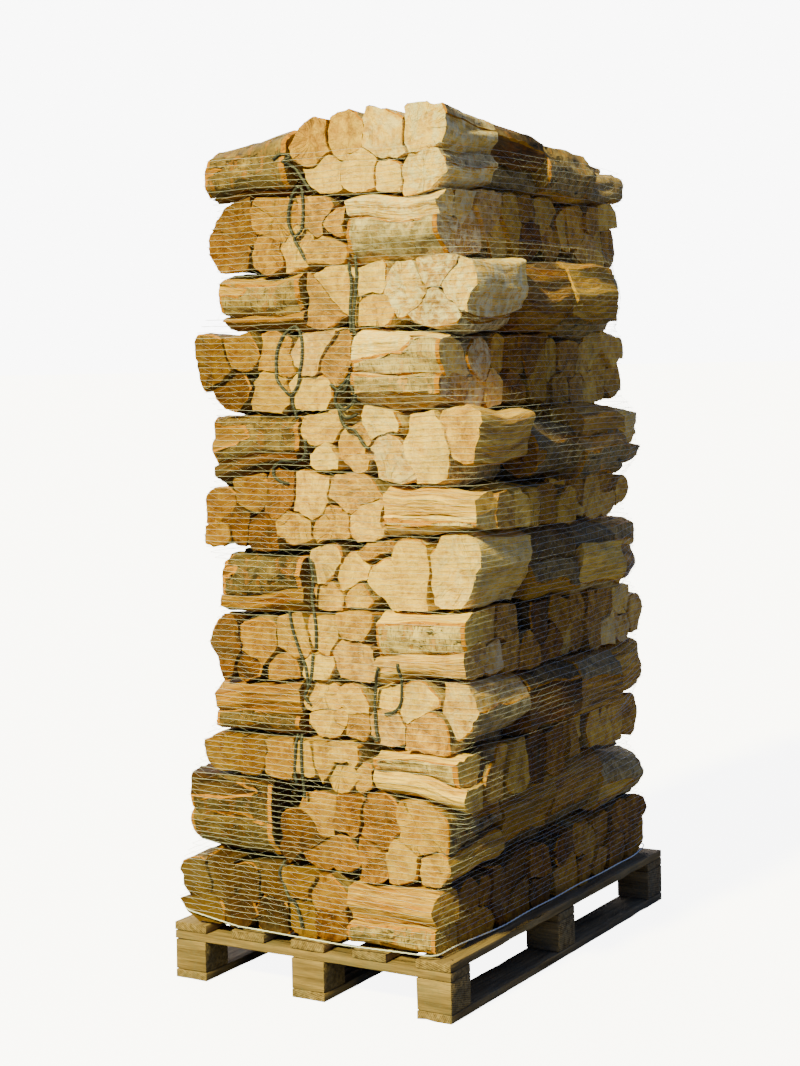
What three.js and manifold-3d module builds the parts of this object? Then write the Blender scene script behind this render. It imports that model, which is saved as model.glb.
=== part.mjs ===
// Pallet of net-bagged split birch firewood, wrapped in pallet net. Millimetres, +Z up.
// The origin is on the ground under the middle of the pallet: X runs across its 800 mm end and Y along its
// 1200 mm side. The bags lie in twelve layers. Each layer is one row of four bags, whose logs run along Y,
// beside a column of two bags, whose logs run along X, and the row changes sides from layer to layer.

import * as THREE from "three";
import { mergeVertices } from "three/addons/utils/BufferGeometryUtils.js";
import Module from "manifold-3d";

const wasm = await Module();
wasm.setup();

// Pallet
const palletWidth = 800;
const palletLength = 1200;
const boardThickness = 22;
const boardWidth = 98;
const deckBoards = 5;
const blockSide = 95;
const blockHeight = 78;
const crossBottom = boardThickness + blockHeight;
const deckTop = crossBottom + 2 * boardThickness;

// Load, one value for each layer from the deck up. The bags settle, so no layer is level: the first lists
// are the height of a layer's top over the four corners of the load. The last three are its outer faces.
const topFrontLeft = [deckTop, 330, 535, 635, 755, 915, 1075, 1240, 1415, 1620, 1735, 1925, 2045];
const topFrontRight = [deckTop, 300, 495, 635, 800, 965, 1140, 1240, 1435, 1600, 1770, 1915, 2125];
const topBackRight = [deckTop, 325, 495, 615, 765, 920, 1100, 1235, 1395, 1585, 1765, 1940, 2035];
const topBackLeft = [deckTop, 320, 505, 630, 775, 930, 1095, 1240, 1410, 1600, 1755, 1925, 2050];
const layerLeft = [-378, -352, -300, -262, -268, -240, -275, -245, -285, -225, -250, -252];
const layerRight = [368, 378, 445, 465, 462, 478, 488, 490, 415, 478, 412, 405];
const layerBack = [575, 530, 480, 490, 500, 470, 440, 460, 450, 445, 430, 462];
const layerFront = [-590, -578, -586, -580, -588, -578, -586, -582, -590, -580, -588, -584];
const layerStepIn = [0, 0, 56, 69, 61, 93, 107, 91, 39, 111, 33, 26]; // of the far bags on the right
const layerCount = layerBack.length;
const cornerX = [-300, 400];
const cornerY = [-590, 500];

// Bags
const bagsInRow = 4;
const bagsInColumn = 2;
const logLength = 250;
const rowToColumnGap = 12;
const columnBagGap = 36;
const columnBagTurn = 0.03; // radians between the ways that two bags of a column may lie
const layerGap = 1; // clear height between a bag and what it lies on
const unitHeight = 160; // bags are made this high, then fitted between the layers above and below

// Logs inside a bag
const thinLayer = 138; // a bag lower than this holds one tier of logs, and a higher one two
const logsInOneTier = 5;
const logsInTier = 4;
const tierSplit = [0.42, 0.58]; // where the two tiers meet, as shares of the bag's height
const dividerShift = 0.15; // most that the line between two logs moves aside, as a share of a log's width
const dividerLean = [0.08, 0.22]; // how far it leans, least and most
const crownPlace = [0.3, 0.7]; // where a log's top is highest, as shares of its width
const grooveDepth = 17; // how far the bark curves in between two neighbouring logs
const cornerInset = 30; // how far the bag's rounded corner lies inside its outline
const cornerReach = 90;
const endStagger = 20; // the most that a log's sawn end stands back in a bag
const logOverlap = 0.6; // logs of a bag run into each other by this, so that they join in one solid
const flatness = 0.05; // faces that lie this closely in one plane are made one face

// Pallet net
const ringStrand = 4;
const uprightStrand = 3;
const netClearance = 6; // the net stands this far off the bags that stretch it
const ringDirections = 8;
const ringCount = 10;
const lowestRing = 175;
const highestRing = 2025;
const sideUprights = [-330, 220]; // places along Y of the upright strands on the two long sides
const endUprights = [60]; // and along X on the two short ones

// A repeatable number from 0 to 1 for one property of one log or bag.
function chance(layer, bag, item, property) {
  const wave = Math.sin(layer * 12.9898 + bag * 78.233 + item * 37.719 + property * 4.581) * 43758.5453;
  return wave - Math.floor(wave);
}

function lerp(a, b, t) {
  return a + (b - a) * t;
}

// Height of the top of a layer at a place on the load. Layer 0 is the deck.
function layerTop(layer, x, y) {
  const across = (x - cornerX[0]) / (cornerX[1] - cornerX[0]);
  const along = (y - cornerY[0]) / (cornerY[1] - cornerY[0]);
  const front = lerp(topFrontLeft[layer], topFrontRight[layer], across);
  const back = lerp(topBackLeft[layer], topBackRight[layer], across);
  return lerp(front, back, along);
}

// How far the bag's top and bottom draw in near its two sides.
function cornerDraw(u, width) {
  const fromSide = Math.max(0, Math.min(u, width - u));
  const share = Math.max(0, 1 - fromSide / cornerReach);
  return cornerInset * share * share;
}

// The lines between the logs of one tier, each as its place along u at the tier's foot and top. They lean in
// turn to one side and the other, as split wedges do when they are packed.
function tierDividers(layer, bag, tier, count, width) {
  const pitch = width / count;
  const dividers = [];
  for (let i = 0; i <= count; i++) {
    const inner = i > 0 && i < count;
    const shift = pitch * lerp(-dividerShift, dividerShift, chance(layer, bag, tier * 10 + i, 1));
    const side = i % 2 === 0 ? 1 : -1;
    const lean = side * pitch * lerp(dividerLean[0], dividerLean[1], chance(layer, bag, tier * 10 + i, 2));
    dividers.push(inner ? [pitch * i + shift - lean, pitch * i + shift + lean] : [pitch * i, pitch * i]);
  }
  return dividers;
}

// A log's cross-section between two dividers, in (u, v): u across the bag, v up. Its top and foot are
// crowned where they are on the outside of the bag.
function logOutline(left, right, tier, width, crown) {
  const outline = [];
  if (tier.onFoot) {
    const middle = lerp(left[0], right[0], 1 - crown);
    outline.push([left[0], tier.low + grooveDepth + cornerDraw(left[0], width)]);
    outline.push([middle, tier.low + cornerDraw(middle, width)]);
    outline.push([right[0], tier.low + grooveDepth + cornerDraw(right[0], width)]);
  } else {
    outline.push([left[0], tier.low], [right[0], tier.low]);
  }
  if (tier.onTop) {
    const middle = lerp(left[1], right[1], crown);
    outline.push([right[1], tier.high - grooveDepth - cornerDraw(right[1], width)]);
    outline.push([middle, tier.high - cornerDraw(middle, width)]);
    outline.push([left[1], tier.high - grooveDepth - cornerDraw(left[1], width)]);
  } else {
    outline.push([right[1], tier.high], [left[1], tier.high]);
  }
  return outline;
}

// The same place for the logs that lie hidden in the middle of a row, as one outline without crowns.
function hiddenOutline(left, right, tier) {
  const low = tier.low + (tier.onFoot ? grooveDepth : 0);
  const high = tier.high - (tier.onTop ? grooveDepth : 0);
  return [[left[0], low], [right[0], low], [right[1], high], [left[1], high]];
}

// The tiers of logs in a bag, from its foot up.
function tiersOf(layer, bag) {
  const below = topFrontLeft[layer - 1] + topBackRight[layer - 1];
  const rise = (topFrontLeft[layer] + topBackRight[layer] - below) / 2;
  if (rise < thinLayer) {
    return [{ count: logsInOneTier, low: 0, high: unitHeight, onFoot: true, onTop: true }];
  }
  const middle = unitHeight * lerp(tierSplit[0], tierSplit[1], chance(layer, bag, 0, 4));
  const fewer = Math.round(chance(layer, bag, 0, 5));
  return [
    { count: logsInTier - fewer, low: 0, high: middle, onFoot: true, onTop: false },
    { count: logsInTier, low: middle, high: unitHeight, onFoot: false, onTop: true },
  ];
}

// The outlines of all the logs of a bag.
function bagOutlines(layer, bag, width, middleHidden) {
  return tiersOf(layer, bag).flatMap((tier, t) => {
    const dividers = tierDividers(layer, bag, t + 1, tier.count, width);
    const last = tier.count - 1;
    const outlines = [];
    for (let i = 0; i <= last; i++) {
      if (!middleHidden || i === 0 || i === last) {
        const crown = lerp(crownPlace[0], crownPlace[1], chance(layer, bag, t * 10 + i, 3));
        outlines.push(logOutline(dividers[i], dividers[i + 1], tier, width, crown));
      }
    }
    if (middleHidden) {
      outlines.push(hiddenOutline(dividers[1], dividers[last], tier));
    }
    return outlines;
  });
}

// The same outline a little larger, so that the log runs into its neighbours.
function grown(outline) {
  const centreU = outline.reduce((sum, point) => sum + point[0], 0) / outline.length;
  const centreV = outline.reduce((sum, point) => sum + point[1], 0) / outline.length;
  return outline.map(([u, v]) => {
    const inside = v > grooveDepth + 1 && v < unitHeight - grooveDepth - 1;
    return [u + Math.sign(u - centreU) * logOverlap, v + (inside ? Math.sign(v - centreV) * logOverlap : 0)];
  });
}

// A prism over an outline, from start to end along Y: u lies along X and v along Z.
function logPrism(outline, start, end) {
  const shape = new THREE.Shape(outline.map(([u, v]) => new THREE.Vector2(u, v)));
  const prism = new THREE.ExtrudeGeometry(shape, { depth: end - start, bevelEnabled: false });
  prism.rotateX(Math.PI / 2).translate(0, end, 0);
  return prism;
}

function solidOf(geometry) {
  const bare = geometry.clone();
  bare.deleteAttribute("normal");
  bare.deleteAttribute("uv");
  const merged = mergeVertices(bare, 1e-4);
  return new wasm.Manifold(
    new wasm.Mesh({
      numProp: 3,
      vertProperties: new Float32Array(merged.attributes.position.array),
      triVerts: new Uint32Array(merged.index.array),
    })
  );
}

function geometryOf(solid) {
  const mesh = solid.getMesh();
  const geometry = new THREE.BufferGeometry();
  geometry.setAttribute("position", new THREE.BufferAttribute(new Float32Array(mesh.vertProperties), 3));
  geometry.setIndex(new THREE.BufferAttribute(new Uint32Array(mesh.triVerts), 1));
  return geometry;
}

function joined(solids) {
  return solids.reduce((whole, next) => whole.add(next)).asOriginal().simplify(flatness);
}

// The logs of one bag, from start to end along Y. The ends that show are staggered, and the others run into
// the next bag.
function bagSolids(layer, bag, size) {
  const middleHidden = !size.startShows && !size.endShows && layer < layerCount;
  return bagOutlines(layer, bag, size.width, middleHidden).map((outline, i) => {
    const nearInset = size.startShows ? endStagger * chance(layer, bag, i, 7) : -logOverlap;
    const farInset = size.endShows ? endStagger * chance(layer, bag, i, 8) : -logOverlap;
    return solidOf(logPrism(grown(outline), size.start + nearInset, size.end - farInset));
  });
}

// Fits bags between the layer below and the one above: their heights from 0 to unitHeight become the room
// that there is at each place.
function settled(geometry, layer) {
  const position = geometry.attributes.position;
  for (let i = 0; i < position.count; i++) {
    const x = position.getX(i);
    const y = position.getY(i);
    const low = layerTop(layer - 1, x, y) + layerGap / 2;
    const high = layerTop(layer, x, y) - layerGap / 2;
    position.setZ(i, lerp(low, high, position.getZ(i) / unitHeight));
  }
  geometry.computeVertexNormals();
  return geometry;
}

const firewood = new THREE.MeshStandardMaterial({ color: 0xd0a060, roughness: 0.85, metalness: 0 });
const palletWood = new THREE.MeshStandardMaterial({ color: 0xc0a070, roughness: 0.9, metalness: 0 });
const netPlastic = new THREE.MeshStandardMaterial({ color: 0xe8e8e4, roughness: 0.5, metalness: 0 });

function addMesh(group, name, geometry, material) {
  const mesh = new THREE.Mesh(geometry, material);
  mesh.name = name;
  group.add(mesh);
  return mesh;
}

// Runners, blocks, cross boards and deck boards, from the ground up.
function buildPallet() {
  const pallet = new THREE.Group();
  const blockX = (palletWidth - blockSide) / 2;
  const blockY = (palletLength - blockSide) / 2;
  const steps = [-1, 0, 1];
  steps.forEach((column, i) => {
    const runner = new THREE.BoxGeometry(blockSide, palletLength, boardThickness);
    const name = `runner_${i + 1}`;
    addMesh(pallet, name, runner, palletWood).position.set(column * blockX, 0, boardThickness / 2);
  });
  steps.forEach((row, j) => {
    steps.forEach((column, i) => {
      const block = new THREE.BoxGeometry(blockSide, blockSide, blockHeight);
      const name = `block_${j * steps.length + i + 1}`;
      const height = boardThickness + blockHeight / 2;
      addMesh(pallet, name, block, palletWood).position.set(column * blockX, row * blockY, height);
    });
    const cross = new THREE.BoxGeometry(palletWidth, blockSide, boardThickness);
    const crossHeight = crossBottom + boardThickness / 2;
    addMesh(pallet, `cross_board_${j + 1}`, cross, palletWood).position.set(0, row * blockY, crossHeight);
  });
  const deckPitch = (palletWidth - boardWidth) / (deckBoards - 1);
  for (let i = 0; i < deckBoards; i++) {
    const board = new THREE.BoxGeometry(boardWidth, palletLength, boardThickness);
    const x = (i - (deckBoards - 1) / 2) * deckPitch;
    const height = deckTop - boardThickness / 2;
    addMesh(pallet, `deck_board_${i + 1}`, board, palletWood).position.set(x, 0, height);
  }
  return pallet;
}

function bagName(layer, place) {
  return `layer_${String(layer).padStart(2, "0")}_bag_${place}`;
}

// A row of bags from left to right in X: they press against each other and lie as one. The last few of them
// may reach less far to the right than the others.
function buildRow(load, layer, left, right, lastFew) {
  const front = layerFront[layer - 1];
  const pitch = (layerBack[layer - 1] - front) / bagsInRow;
  const solids = [];
  for (let bag = 0; bag < bagsInRow; bag++) {
    const stepIn = bag < bagsInRow - lastFew ? 0 : layerStepIn[layer - 1];
    const size = {
      width: right - stepIn - left,
      start: front + bag * pitch,
      end: front + (bag + 1) * pitch,
      startShows: bag === 0,
      endShows: bag === bagsInRow - 1,
    };
    solids.push(...bagSolids(layer, bag, size));
  }
  const geometry = geometryOf(joined(solids)).translate(left, 0, 0);
  addMesh(load, bagName(layer, "row"), settled(geometry, layer), firewood);
}

// The two bags of a column, whose logs run along X: the ends on the load's outer face show.
function buildColumn(load, layer, left, faceRight) {
  const front = layerFront[layer - 1];
  const width = (layerBack[layer - 1] - front - columnBagGap) / bagsInColumn;
  ["front", "back"].forEach((place, i) => {
    const bag = bagsInRow + i;
    const size = { width, start: 0, end: logLength, startShows: !faceRight, endShows: faceRight };
    const geometry = geometryOf(joined(bagSolids(layer, bag, size)));
    const turn = (chance(layer, bag, 0, 9) - 0.5) * columnBagTurn;
    const stepIn = faceRight && place === "back" ? layerStepIn[layer - 1] : 0;
    geometry.translate(-width / 2, -logLength / 2, 0);
    geometry.rotateZ(-Math.PI / 2 + turn);
    geometry.translate(left - stepIn + logLength / 2, front + width / 2 + i * (width + columnBagGap), 0);
    addMesh(load, bagName(layer, place), settled(geometry, layer), firewood);
  });
}

function buildLoad() {
  const load = new THREE.Group();
  for (let layer = 1; layer <= layerCount; layer++) {
    const left = layerLeft[layer - 1];
    const right = layerRight[layer - 1];
    if (layer % 2 === 1) {
      buildRow(load, layer, left, right - logLength - rowToColumnGap, bagsInRow / bagsInColumn);
      buildColumn(load, layer, right - logLength, true);
    } else {
      buildColumn(load, layer, left, false);
      buildRow(load, layer, left + logLength + rowToColumnGap, right, 1);
    }
  }
  return load;
}

// How far the load reaches in one direction, between two heights.
function reach(load, angle, low, high) {
  let farthest = -Infinity;
  load.children.forEach((mesh) => {
    const position = mesh.geometry.attributes.position;
    for (let i = 0; i < position.count; i++) {
      const z = position.getZ(i);
      if (z >= low && z <= high) {
        const out = position.getX(i) * Math.cos(angle) + position.getY(i) * Math.sin(angle);
        farthest = Math.max(farthest, out);
      }
    }
  });
  return farthest;
}

// How far the load reaches to each side between two heights.
function reaches(load, low, high) {
  const step = (2 * Math.PI) / ringDirections;
  return Array.from({ length: ringDirections }, (_, i) => reach(load, i * step, low, high));
}

// The corners of the outline that stands off the load's reaches by a distance.
function outlineAround(sides, distance) {
  const step = (2 * Math.PI) / ringDirections;
  return sides.map((side, i) => {
    const here = side + distance;
    const next = sides[(i + 1) % ringDirections] + distance;
    const along = (next - here * Math.cos(step)) / Math.sin(step);
    const angle = i * step;
    return new THREE.Vector2(
      here * Math.cos(angle) - along * Math.sin(angle),
      here * Math.sin(angle) + along * Math.cos(angle)
    );
  });
}

// One level strand of the net, all the way round.
function netRing(sides, height) {
  const shape = new THREE.Shape(outlineAround(sides, netClearance + ringStrand));
  shape.holes.push(new THREE.Path(outlineAround(sides, netClearance)));
  const ring = new THREE.ExtrudeGeometry(shape, { depth: ringStrand, bevelEnabled: false });
  ring.translate(0, 0, height - ringStrand / 2);
  return solidOf(ring);
}

// A straight strand from one ring to the next.
function netUpright(from, to) {
  const direction = to.clone().sub(from);
  const bar = new THREE.BoxGeometry(uprightStrand, uprightStrand, direction.length());
  const up = new THREE.Vector3(0, 0, 1);
  bar.applyQuaternion(new THREE.Quaternion().setFromUnitVectors(up, direction.normalize()));
  bar.translate((from.x + to.x) / 2, (from.y + to.y) / 2, (from.z + to.z) / 2);
  return solidOf(bar);
}

// Where the upright strands meet one ring: on its right and left sides, then its back and front.
function uprightKnots(sides, height) {
  const standOff = netClearance + ringStrand / 2;
  const quarter = ringDirections / 4;
  const [right, back, left, front] = [0, quarter, 2 * quarter, 3 * quarter].map((i) => sides[i] + standOff);
  return [
    ...sideUprights.map((y) => new THREE.Vector3(right, y, height)),
    ...sideUprights.map((y) => new THREE.Vector3(-left, y, height)),
    ...endUprights.map((x) => new THREE.Vector3(x, back, height)),
    ...endUprights.map((x) => new THREE.Vector3(x, -front, height)),
  ];
}

// The pallet net, as level rings of its strands joined by a few upright ones. A ring goes round all that
// lies between the rings below and above it, so the straight uprights pass outside the bags too.
function buildNet(load) {
  const spacing = (highestRing - lowestRing) / (ringCount - 1);
  const strands = [];
  let knotsBelow = [];
  for (let i = 0; i < ringCount; i++) {
    const height = lowestRing + i * spacing;
    const sides = reaches(load, height - spacing, height + spacing);
    strands.push(netRing(sides, height));
    const knots = uprightKnots(sides, height);
    knotsBelow.forEach((knot, j) => strands.push(netUpright(knot, knots[j])));
    knotsBelow = knots;
  }
  const net = geometryOf(joined(strands));
  net.computeVertexNormals();
  return net;
}

const load = buildLoad();
const object = new THREE.Group();
object.add(buildPallet(), load);
addMesh(object, "net_wrap", buildNet(load), netPlastic);

export default object;
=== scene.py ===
# Pallet of net-bagged birch firewood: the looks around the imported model, in metres, +Z up.

import math
import random

import bmesh
import bpy
from mathutils import Matrix, Vector, geometry, noise
from mathutils.bvhtree import BVHTree


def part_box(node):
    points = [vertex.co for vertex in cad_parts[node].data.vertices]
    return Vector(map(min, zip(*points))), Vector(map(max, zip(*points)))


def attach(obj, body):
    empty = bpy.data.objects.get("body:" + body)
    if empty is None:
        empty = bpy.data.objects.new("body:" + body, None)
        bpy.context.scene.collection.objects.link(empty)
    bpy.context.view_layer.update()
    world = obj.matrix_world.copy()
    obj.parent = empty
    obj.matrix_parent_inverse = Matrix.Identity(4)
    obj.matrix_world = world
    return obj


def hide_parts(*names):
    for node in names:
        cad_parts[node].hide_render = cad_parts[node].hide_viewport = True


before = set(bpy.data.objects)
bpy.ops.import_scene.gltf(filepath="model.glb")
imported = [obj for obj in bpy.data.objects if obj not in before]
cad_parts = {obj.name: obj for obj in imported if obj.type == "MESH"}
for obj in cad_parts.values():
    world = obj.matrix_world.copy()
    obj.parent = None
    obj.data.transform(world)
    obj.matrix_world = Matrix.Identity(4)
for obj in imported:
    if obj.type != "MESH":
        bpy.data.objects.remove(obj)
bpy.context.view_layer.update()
mm = 0.001
noise.seed_set(12)   # noise_vector, which warps the logs, follows the clock without it


# Camera, from a fit to the pallet's corners and edges in the 800 x 1066 photograph

camera = {
    "place": (2.662, -4.503, 1.548),
    "yaw": 31.29,       # degrees, turned left from looking along +Y
    "pitch": -5.08,
    "roll": -1.3,
    "focalPixels": 2000,
    "longSide": 1066,
    "sensor": 36,
}


def makeCamera():
    data = bpy.data.cameras.new("camera")
    data.sensor_width = camera["sensor"]
    data.lens = camera["focalPixels"] * camera["sensor"] / camera["longSide"]
    obj = bpy.data.objects.new("camera", data)
    bpy.context.scene.collection.objects.link(obj)
    yaw, pitch, roll = (math.radians(camera[k]) for k in ("yaw", "pitch", "roll"))
    forward = Vector((-math.sin(yaw) * math.cos(pitch), math.cos(yaw) * math.cos(pitch), math.sin(pitch)))
    level = Vector((math.cos(yaw), math.sin(yaw), 0))
    upright = level.cross(forward)
    right = level * math.cos(roll) + upright * math.sin(roll)
    up = upright * math.cos(roll) - level * math.sin(roll)
    turn = Matrix((right, up, -forward)).transposed().to_4x4()
    obj.matrix_world = Matrix.Translation(camera["place"]) @ turn
    bpy.context.scene.camera = obj


# Shader helpers

def addNode(tree, kind, inputs=None, **settings):
    made = tree.nodes.new(kind)
    for key, value in settings.items():
        setattr(made, key, value)
    for key, value in (inputs or {}).items():
        if isinstance(value, bpy.types.NodeSocket):
            tree.links.new(value, made.inputs[key])
        else:
            made.inputs[key].default_value = value
    return made


def calc(tree, operation, *values):
    return addNode(tree, "ShaderNodeMath", dict(enumerate(values)), operation=operation).outputs[0]


def scaled(tree, vector, scale):
    return addNode(tree, "ShaderNodeVectorMath", {0: vector, 1: scale}, operation="MULTIPLY").outputs[0]


def noiseOf(tree, vector, scale=1.0, detail=3.0, roughness=0.55):
    sockets = {"Vector": vector, "Scale": scale, "Detail": detail, "Roughness": roughness}
    return addNode(tree, "ShaderNodeTexNoise", sockets).outputs["Fac"]


def between(tree, value, low, high, start=0.0, stop=1.0):
    sockets = {"Value": value, "From Min": low, "From Max": high, "To Min": start, "To Max": stop}
    return addNode(tree, "ShaderNodeMapRange", sockets, interpolation_type="SMOOTHSTEP").outputs["Result"]


def mixed(tree, factor, first, second, blend="MIX"):
    sockets = {
        0: factor,
        6: first if isinstance(first, bpy.types.NodeSocket) else (*first, 1),
        7: second if isinstance(second, bpy.types.NodeSocket) else (*second, 1),
    }
    made = addNode(tree, "ShaderNodeMix", sockets, data_type="RGBA", blend_type=blend)
    return made.outputs[2]


def rampOf(tree, value, stops):
    made = addNode(tree, "ShaderNodeValToRGB", {"Fac": value})
    marks = made.color_ramp.elements
    while len(marks) < len(stops):
        marks.new(0.5)
    for mark, (place, colour) in zip(marks, stops):
        mark.position = place
        mark.color = (*colour, 1)
    return made.outputs["Color"]


def bumpOf(tree, height, distance, strength=1.0):
    sockets = {"Height": height, "Distance": distance, "Strength": strength}
    return addNode(tree, "ShaderNodeBump", sockets).outputs["Normal"]


def newGroup(name, ins, outs):
    tree = bpy.data.node_groups.new(name, "ShaderNodeTree")
    for label, kind in ins:
        tree.interface.new_socket(label, in_out="INPUT", socket_type="NodeSocket" + kind)
    for label, kind in outs:
        tree.interface.new_socket(label, in_out="OUTPUT", socket_type="NodeSocket" + kind)
    return tree, tree.nodes.new("NodeGroupInput").outputs, tree.nodes.new("NodeGroupOutput").inputs


def useGroup(tree, group, inputs):
    made = addNode(tree, "ShaderNodeGroup", node_tree=group)
    for key, value in inputs.items():
        if isinstance(value, bpy.types.NodeSocket):
            tree.links.new(value, made.inputs[key])
        else:
            made.inputs[key].default_value = value
    return made.outputs


def newMaterial(name, shine=0.5):
    material = bpy.data.materials.new(name)
    material.use_nodes = True
    tree = material.node_tree
    shader = tree.nodes["Principled BSDF"]
    shader.inputs["Specular IOR Level"].default_value = shine
    return material, tree, shader


def wire(tree, shader, colour, roughness, normal):
    tree.links.new(colour, shader.inputs["Base Color"])
    tree.links.new(roughness, shader.inputs["Roughness"])
    tree.links.new(normal, shader.inputs["Normal"])


# Effects that several finishes share

def fibreGroup():
    # long fibres of wood: first axis of the coordinates runs across, second along the grain
    tree, ins, outs = newGroup(
        "fibres", (("Coord", "Vector"), ("Size", "Float")), (("Streak", "Float"), ("Fine", "Float"))
    )
    sized = addNode(tree, "ShaderNodeVectorMath", {0: ins["Coord"], "Scale": ins["Size"]}, operation="SCALE")
    sway = noiseOf(tree, scaled(tree, sized.outputs[0], (9, 3, 9)), 1, 2)
    bent = addNode(tree, "ShaderNodeVectorMath", {
        0: sized.outputs[0],
        1: addNode(tree, "ShaderNodeCombineXYZ", {0: calc(tree, "MULTIPLY", sway, 0.02)}).outputs[0],
    }, operation="ADD").outputs[0]
    tree.links.new(noiseOf(tree, scaled(tree, bent, (75, 5, 75)), 1, 4, 0.6), outs["Streak"])
    tree.links.new(noiseOf(tree, scaled(tree, bent, (420, 16, 420)), 1, 3, 0.6), outs["Fine"])
    return tree


def grimeGroup():
    # dust and weather, in patches over whole pieces
    tree, ins, outs = newGroup(
        "grime", (("Colour", "Color"), ("Coord", "Vector"), ("Grime", "Color"), ("Amount", "Float")),
        (("Colour", "Color"),),
    )
    patch = between(tree, noiseOf(tree, ins["Coord"], 9, 5, 0.65), 0.45, 0.72)
    speck = between(tree, noiseOf(tree, ins["Coord"], 130, 2, 0.5), 0.52, 0.72, 0, 0.5)
    both = calc(tree, "MULTIPLY", calc(tree, "ADD", patch, speck), ins["Amount"])
    tree.links.new(mixed(tree, both, ins["Colour"], ins["Grime"]), outs["Colour"])
    return tree


def logInputs(tree):
    # a log's own coordinates from its pith, moved on for each log, its painted light and shade with a random tone,
    # and two chance values
    coord = addNode(tree, "ShaderNodeAttribute", attribute_name="logCoord").outputs["Vector"]
    shape = addNode(tree, "ShaderNodeAttribute", attribute_name="logLightAndChance").outputs["Vector"]
    parts = addNode(tree, "ShaderNodeSeparateXYZ", {0: shape}).outputs
    place = addNode(tree, "ShaderNodeTexCoord").outputs["Object"]
    return coord, parts[0], parts[1], parts[2], place


def lightAndBleachNodes():
    # painted light and shade on wood: the colour is scaled up where the value is high, and darker and deeper where
    # it is low; where it is high there are also patches of pale wood that are part bleaching, part painted highlight
    tree, ins, outs = newGroup(
        "paintedLightAndBleach", (("Colour", "Color"), ("Coord", "Vector"), ("LightAndTone", "Float"), ("LitBleach", "Color")),
        (("Colour", "Color"),),
    )
    lightScale = calc(tree, "MINIMUM", ins["LightAndTone"], 1.1)
    deep = between(tree, ins["LightAndTone"], 0.45, 1.0, 1.6, 1)
    rich = addNode(tree, "ShaderNodeGamma", {"Color": ins["Colour"], "Gamma": deep}).outputs["Color"]
    shade = addNode(tree, "ShaderNodeVectorMath", {0: rich, "Scale": lightScale}, operation="SCALE").outputs[0]
    patch = between(tree, noiseOf(tree, ins["Coord"], 48, 5, 0.65), 0.42, 0.62, 0.1, 1)
    amount = calc(tree, "MULTIPLY", patch, between(tree, ins["LightAndTone"], 1.05, 1.45, 0, 0.85))
    tree.links.new(mixed(tree, amount, shade, ins["LitBleach"]), outs["Colour"])
    return tree


# puts the painted light and shade, and the pale patches, into a colour
def paintLightAndBleach(tree, paintedLightAndBleach, colour, coord, paintedLightAndTone):
    sockets = {"Colour": colour, "Coord": coord, "LightAndTone": paintedLightAndTone, "LitBleach": (*wood["bleachedLit"], 1)}
    return useGroup(tree, paintedLightAndBleach, sockets)["Colour"]


wood = {
    "pale": (0.90, 0.61, 0.14),
    "tan": (0.70, 0.42, 0.08),
    "amber": (0.49, 0.25, 0.045),
    "brown": (0.13, 0.064, 0.030),
    "sawnDark": (0.26, 0.125, 0.035),
    "sawnMid": (0.66, 0.39, 0.075),
    "sawnPale": (0.88, 0.60, 0.14),
    # pale wood: part bleaching, part painted highlight at the near corner
    "bleachedLit": (0.88, 0.81, 0.66),
    "grime": (0.19, 0.145, 0.080),
    "barkPale": (0.62, 0.48, 0.24),
    "barkMid": (0.34, 0.24, 0.115),
    "barkGrey": (0.16, 0.115, 0.062),
    "barkDark": (0.040, 0.031, 0.021),
    "barkRust": (0.48, 0.25, 0.06),
    "stain": (0.52, 0.235, 0.012),
    "torn": (0.40, 0.175, 0.004),
    "tornDark": (0.24, 0.095, 0.004),
    "shine": 0.2,
}


def splitFinish(fibres, grime, paintedLightAndBleach):
    material, tree, shader = newMaterial("splitBirch", wood["shine"])
    coord, paintedLightAndTone, first, second, place = logInputs(tree)
    grain = useGroup(tree, fibres, {"Coord": coord, "Size": 1.0})
    mottle = noiseOf(tree, scaled(tree, coord, (70, 20, 70)), 1, 4, 0.65)
    tone = calc(tree, "MULTIPLY_ADD", first, 0.42, calc(tree, "MULTIPLY_ADD", grain["Streak"], 0.80, -0.34))
    tone = calc(tree, "MULTIPLY_ADD", mottle, 0.5, tone)
    colour = rampOf(tree, tone, (
        (0.22, wood["brown"]), (0.38, wood["amber"]), (0.52, wood["tan"]), (0.70, wood["pale"]),
    ))
    stain = between(tree, noiseOf(tree, scaled(tree, coord, (46, 7, 46)), 1, 4, 0.6), 0.54, 0.66)
    stain = calc(tree, "MULTIPLY", stain, between(tree, second, 0.1, 0.9, 0.15, 0.9))
    colour = mixed(tree, stain, colour, wood["stain"])
    line = between(tree, grain["Fine"], 0.3, 0.7, 0.68, 1.12)
    shade = addNode(tree, "ShaderNodeVectorMath", {0: colour, "Scale": line}, operation="SCALE").outputs[0]
    # painted light and shade, with pale patches
    shade = paintLightAndBleach(tree, paintedLightAndBleach, shade, coord, paintedLightAndTone)
    shade = useGroup(tree, grime, {"Colour": shade, "Coord": place, "Grime": (*wood["grime"], 1), "Amount": 0.35})
    height = calc(tree, "MULTIPLY_ADD", grain["Fine"], 0.25, grain["Streak"])
    height = calc(tree, "MULTIPLY_ADD", mottle, 0.5, height)
    wire(tree, shader, shade["Colour"], between(tree, grain["Fine"], 0, 1, 0.6, 0.85), bumpOf(tree, height, 0.012))
    return material


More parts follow.
